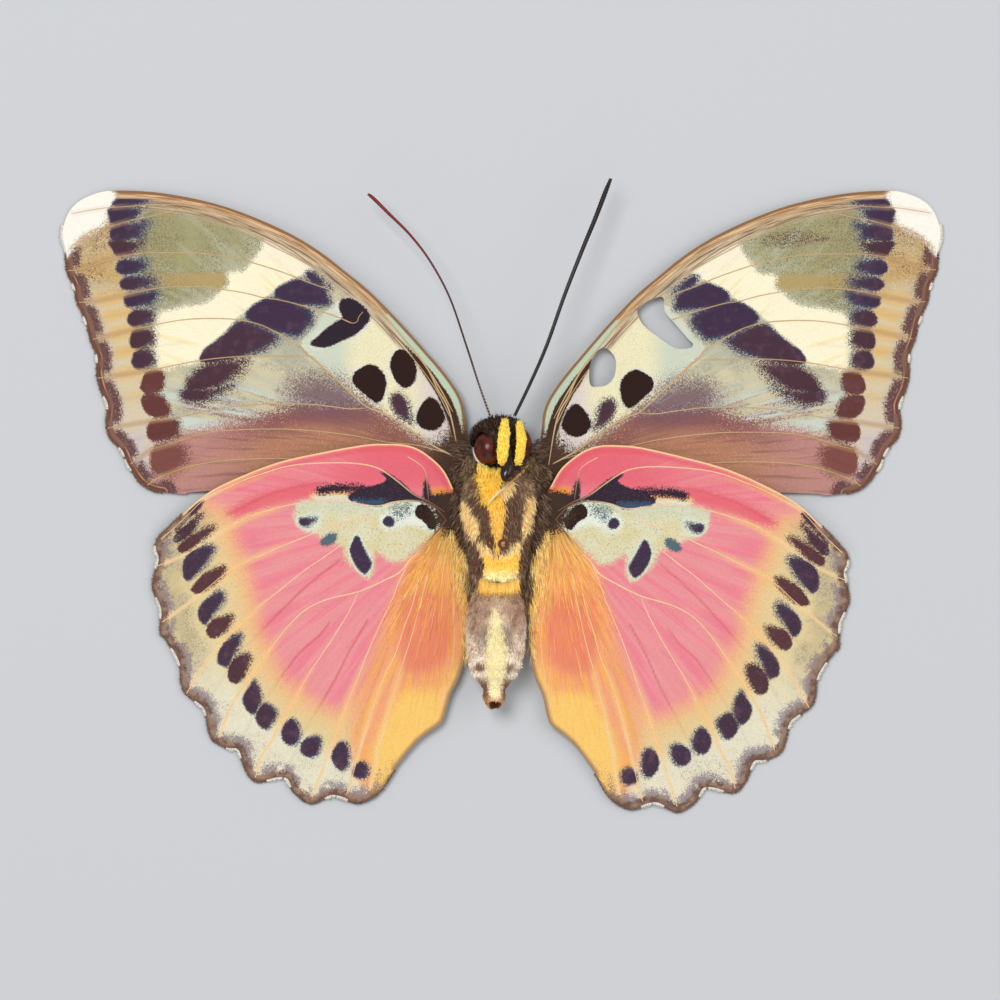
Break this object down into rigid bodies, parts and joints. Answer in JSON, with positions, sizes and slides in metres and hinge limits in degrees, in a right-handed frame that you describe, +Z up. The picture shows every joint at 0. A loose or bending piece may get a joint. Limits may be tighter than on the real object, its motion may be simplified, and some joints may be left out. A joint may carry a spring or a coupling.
{
  "type": "butterfly specimen",
  "caption": "Dried forest butterfly with spread wings and forward antennae, lying on its back to show the pink, green and dark-spotted undersides.",
  "frame": {"origin": "under the middle of the specimen, on the surface that it lies on", "axes": "+X from the left wing tip to the right one as seen from above, +Y towards the head, +Z up through the underside of the body"},
  "size_m": [0.0879, 0.0632, 0.0078],
  "materials": {
    "forewing_scales": "matt powdery scales, green and cream with dark violet marks",
    "hindwing_scales": "matt powdery scales, pink and orange with dark violet spots",
    "thorax_hair": "short buff, brown and yellow hair",
    "abdomen_scales": "pinkish grey scales with a cream middle stripe",
    "head_hair": "short dark brown hair",
    "eye_shell": "glossy dark red",
    "palp_hair": "dense yellow scales",
    "brown_shell": "satin red-brown",
    "dark_shell": "satin black"
  },
  "bodies": {
    "root": {"forewing_left": "forewing_scales", "forewing_right": "forewing_scales", "hindwing_left": "hindwing_scales", "hindwing_right": "hindwing_scales", "thorax": "thorax_hair", "abdomen": "abdomen_scales", "head": "head_hair", "eye_left": "eye_shell", "eye_right": "eye_shell", "palp_left": "palp_hair", "palp_right": "palp_hair", "proboscis": "dark_shell", "antenna_left": "brown_shell", "antenna_right": "dark_shell", "folded_leg": "brown_shell"}
  },
  "joints": []
}
